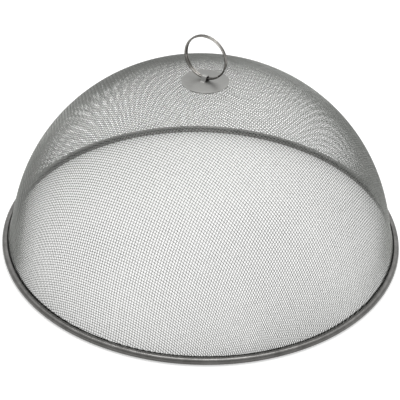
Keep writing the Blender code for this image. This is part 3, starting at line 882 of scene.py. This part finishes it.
def nickel_plated_spring(ring):
    """Bright nickel on rolled spring wire: mirror-like, fine lines along the wire, small scratches, painted
    highlights.
    """
    material, tree, shader = new_material("nickel_plated_spring")
    run = add_node(tree, "ShaderNodeUVMap", uv_map=RUN_MAP)
    # Lines along the wire, 0.3 mm apart and 10 mm long
    lines = streaks(tree, run.outputs[0], (100.0, 3200.0, 1.0), Detail=2.0)
    # Rubbed and tarnished stretches some 5 mm long
    rubs = blotches(tree, 200.0, Detail=3.0)
    pattern = add_node(tree, "ShaderNodeMath", {}, {0: lines, 1: rubs}, operation="MULTIPLY")
    # Painted highlights on the stretches, where wear also brightens the nickel, take it to the bright colour
    glint_and_wear = add_wear(tree, pattern.outputs[0], 1.0, "glint_and_wear")
    polish(tree, shader, glint_and_wear, ring.dull, ring.bright, 0.28, 0.09)
    return material


def ring_path(ring):
    """Centre line of the flat wire about the ring's own axis: heading, and offset along the axis.

    The turns lie close by the jog and have sprung apart on the far side: their gap is turn gap +
    spread * ((1 + cos(heading - spread heading)) / 2) ** 2. The jog is a smooth step from one turn to
    the other, and each end of the wire stops just past the jog that crosses in front of it.
    """
    reach = 2 * math.pi - ring.jog_half - ring.end_angle
    plain = np.linspace(ring.jog_half, reach, ring.steps)
    jog = np.linspace(-ring.jog_half, ring.jog_half, ring.steps // JOG_STEPS_DIVISOR)[1:-1]
    heading = np.concatenate([-plain[::-1], jog, plain])
    share = np.clip((heading + ring.jog_half) / (2 * ring.jog_half), 0.0, 1.0)
    step = share * share * (3.0 - 2.0 * share)
    heading = heading + ring.jog_heading
    gap = ring.turn_gap + ring.spread * ((1 + np.cos(heading - ring.spread_heading)) / 2) ** 2
    return heading, (ring.width + gap) / 2 * (2.0 * step - 1.0)


class MESHCOVER_OT_coil_ring(bpy.types.Operator):
    """Coil the split ring that hangs in the bridge"""
    bl_idname = "mesh_cover.coil_ring"
    bl_label = "Coil Ring"

    def execute(self, context):
        ring = context.scene.mesh_cover_ring
        heading, aside = ring_path(ring)
        radius = (ring.diameter - ring.depth) / 2
        path = np.stack([radius * np.cos(heading), -aside,
                         RING_PIVOT_HEIGHT + radius * (1 + np.sin(heading))], axis=-1)
        run = unit(np.gradient(path, axis=0))
        side = unit(np.cross(run, (0.0, -1.0, 0.0)))
        up = np.cross(side, run)
        flat_depth = ring.depth / 2 - ring.rounding
        flat_width = ring.width / 2 - ring.rounding
        corners = ((1, 1, 0.0), (-1, 1, 90.0), (-1, -1, 180.0), (1, -1, 270.0))
        outline = np.concatenate([
            arc((x * flat_depth, y * flat_width), ring.rounding, start, ROUNDING_FACETS)
            for x, y, start in corners])
        mesh = swept_mesh("split_ring", path, side, up, outline, closed=False)
        # A stretch is painted bright, a painted highlight as well as wear, by
        # amount * exp(-(2 * sin((heading - place) / 2) / reach) ** 2)
        glint_and_wear = np.zeros(len(heading))
        for place, reach, amount in GLINT_AND_WEAR_STRETCHES:
            from_place = 2 * np.sin((heading - math.radians(place)) / 2)
            glint_and_wear += amount * np.exp(-(from_place / math.radians(reach)) ** 2)
        lay_tone(mesh, "glint_and_wear", np.repeat(glint_and_wear, len(outline)))
        add_piece(mesh, "ring", ["split_ring"], nickel_plated_spring(ring))
        return {"FINISHED"}


def matt_floor(stage):
    """Matt white studio floor: it takes the cover's shadow and shows pale to the camera and in steel."""
    material, tree, shader = new_material("matt_floor", 0.0)
    shader.inputs["Base Color"].default_value = (*stage.floor, 1.0)
    shader.inputs["Roughness"].default_value = 0.9
    shader.inputs["Specular IOR Level"].default_value = 0.1
    shader.inputs["Emission Color"].default_value = (1.0, 1.0, 1.0, 1.0)
    rays = add_node(tree, "ShaderNodeLightPath")
    seen = rays.outputs["Is Camera Ray"]
    for ray in ("Is Glossy Ray", "Is Transmission Ray"):
        either = add_node(tree, "ShaderNodeMath", {}, {0: seen, 1: rays.outputs[ray]}, operation="MAXIMUM")
        seen = either.outputs[0]
    strength = add_node(tree, "ShaderNodeMath", {1: stage.floor_lift}, {0: seen}, operation="MULTIPLY")
    tree.links.new(strength.outputs[0], shader.inputs["Emission Strength"])
    return material


def studio_light(stage, right, away):
    """World that brightens from its walls to overhead, and more to the right and to the rear.

    Its strength is level * (1 + direction . (right * slant + away * rear)).
    """
    world = bpy.data.worlds.new("studio")
    world.use_nodes = True
    tree = world.node_tree
    direction = add_node(tree, "ShaderNodeTexCoord").outputs["Generated"]
    parts = add_node(tree, "ShaderNodeSeparateXYZ", {}, {0: direction})
    level = add_node(tree, "ShaderNodeMapRange",
                     {"From Min": 0.0, "From Max": 1.0, "To Min": stage.horizon, "To Max": stage.zenith},
                     {"Value": parts.outputs["Z"]}, interpolation_type="SMOOTHSTEP")
    aside = add_node(tree, "ShaderNodeVectorMath", {1: right * stage.slant + away * stage.rear},
                     {0: direction}, operation="DOT_PRODUCT")
    slanted = add_node(tree, "ShaderNodeMath", {1: 1.0}, {0: aside.outputs["Value"]})
    strength = add_node(tree, "ShaderNodeMath", {}, {0: level.outputs[0], 1: slanted.outputs[0]},
                        operation="MULTIPLY")
    tree.links.new(strength.outputs[0], tree.nodes["Background"].inputs["Strength"])
    tree.nodes["Background"].inputs["Color"].default_value = (1.0, 1.0, 1.0, 1.0)
    return world


def camera_place(stage):
    """Camera's matrix: it looks at the aim point from its distance and height, rolled, then turned."""
    back = Vector((0.0, -math.cos(stage.elevation), math.sin(stage.elevation)))
    right = Vector((1.0, 0.0, 0.0))
    place = back * stage.distance
    aim = right * stage.aim_across + back.cross(right) * stage.aim_up
    back = (place - aim).normalized()
    right = Vector((0.0, 0.0, 1.0)).cross(back).normalized()
    up = back.cross(right)
    cosine, sine = math.cos(stage.roll), math.sin(stage.roll)
    axes = Matrix((right * cosine - up * sine, right * sine + up * cosine, back)).transposed().to_4x4()
    return Matrix.Rotation(stage.heading, 4, "Z") @ Matrix.Translation(place) @ axes


class MESHCOVER_OT_set_stage(bpy.types.Operator):
    """Set the floor, the light and the camera"""
    bl_idname = "mesh_cover.set_stage"
    bl_label = "Set Stage"

    def execute(self, context):
        scene = context.scene
        stage = scene.mesh_cover_stage
        signs = np.array([(-1, -1, 0), (1, -1, 0), (1, 1, 0), (-1, 1, 0)])
        floor = bpy.data.objects.new("studio_floor", surface_mesh(
            "studio_floor", signs * FLOOR_HALF - (0.0, 0.0, FLOOR_DROP), [np.arange(4)[None]]))
        floor.data.materials.append(matt_floor(stage))
        scene.collection.objects.link(floor)

        right = Vector((math.cos(stage.heading), math.sin(stage.heading), 0.0))
        away = Vector((-math.sin(stage.heading), math.cos(stage.heading), 0.0))
        scene.world = studio_light(stage, right, away)

        lamp = bpy.data.lights.new("key_lamp", "AREA")
        lamp.shape = "RECTANGLE"
        lamp.size = LAMP_WIDTH
        lamp.size_y = LAMP_DEPTH
        lamp.energy = stage.key
        key = bpy.data.objects.new("key_lamp", lamp)
        scene.collection.objects.link(key)
        key.location = away * LAMP_AWAY + right * LAMP_RIGHT + Vector((0.0, 0.0, LAMP_UP))
        key.rotation_mode = "QUATERNION"
        key.rotation_quaternion = (key.location - Vector((0.0, 0.0, LAMP_AIM_HEIGHT))).to_track_quat("Z", "Y")

        view = bpy.data.cameras.new("camera")
        view.lens = stage.lens
        camera = bpy.data.objects.new("camera", view)
        scene.collection.objects.link(camera)
        scene.camera = camera
        camera.matrix_world = camera_place(stage)
        scene.view_settings.view_transform = "Standard"
        return {"FINISHED"}


class MESHCOVER_PT_maker(bpy.types.Panel):
    """Lists the steps that make the cover"""
    bl_idname = "MESHCOVER_PT_maker"
    bl_label = "Mesh Food Cover"
    bl_space_type = "VIEW_3D"
    bl_region_type = "UI"
    bl_category = "Food Cover"

    def draw(self, context):
        for name, settings, step in STEPS:
            box = self.layout.box()
            box.operator(step)
            values = getattr(context.scene, name)
            for label in settings.__annotations__:
                box.prop(values, label)


SETTINGS = (ClothSettings, RimSettings, PlateSettings, RingSettings, StageSettings)
OPERATORS = (MESHCOVER_OT_weave_cloth, MESHCOVER_OT_roll_rim, MESHCOVER_OT_press_plates,
             MESHCOVER_OT_coil_ring, MESHCOVER_OT_set_stage)
NAMES = ("mesh_cover_cloth", "mesh_cover_rim", "mesh_cover_plate", "mesh_cover_ring", "mesh_cover_stage")
STEPS = tuple(zip(NAMES, SETTINGS, (operator.bl_idname for operator in OPERATORS)))


def register():
    for kind in (*SETTINGS, *OPERATORS, MESHCOVER_PT_maker):
        bpy.utils.register_class(kind)
    for name, settings in zip(NAMES, SETTINGS):
        setattr(bpy.types.Scene, name, bpy.props.PointerProperty(type=settings))


def unregister():
    for name in NAMES:
        delattr(bpy.types.Scene, name)
    for kind in reversed((*SETTINGS, *OPERATORS, MESHCOVER_PT_maker)):
        bpy.utils.unregister_class(kind)


def main():
    """Make every piece and the stage."""
    register()
    bpy.ops.mesh_cover.weave_cloth()
    bpy.ops.mesh_cover.roll_rim()
    bpy.ops.mesh_cover.press_plates()
    bpy.ops.mesh_cover.coil_ring()
    bpy.ops.mesh_cover.set_stage()


if __name__ == "__main__":
    main()
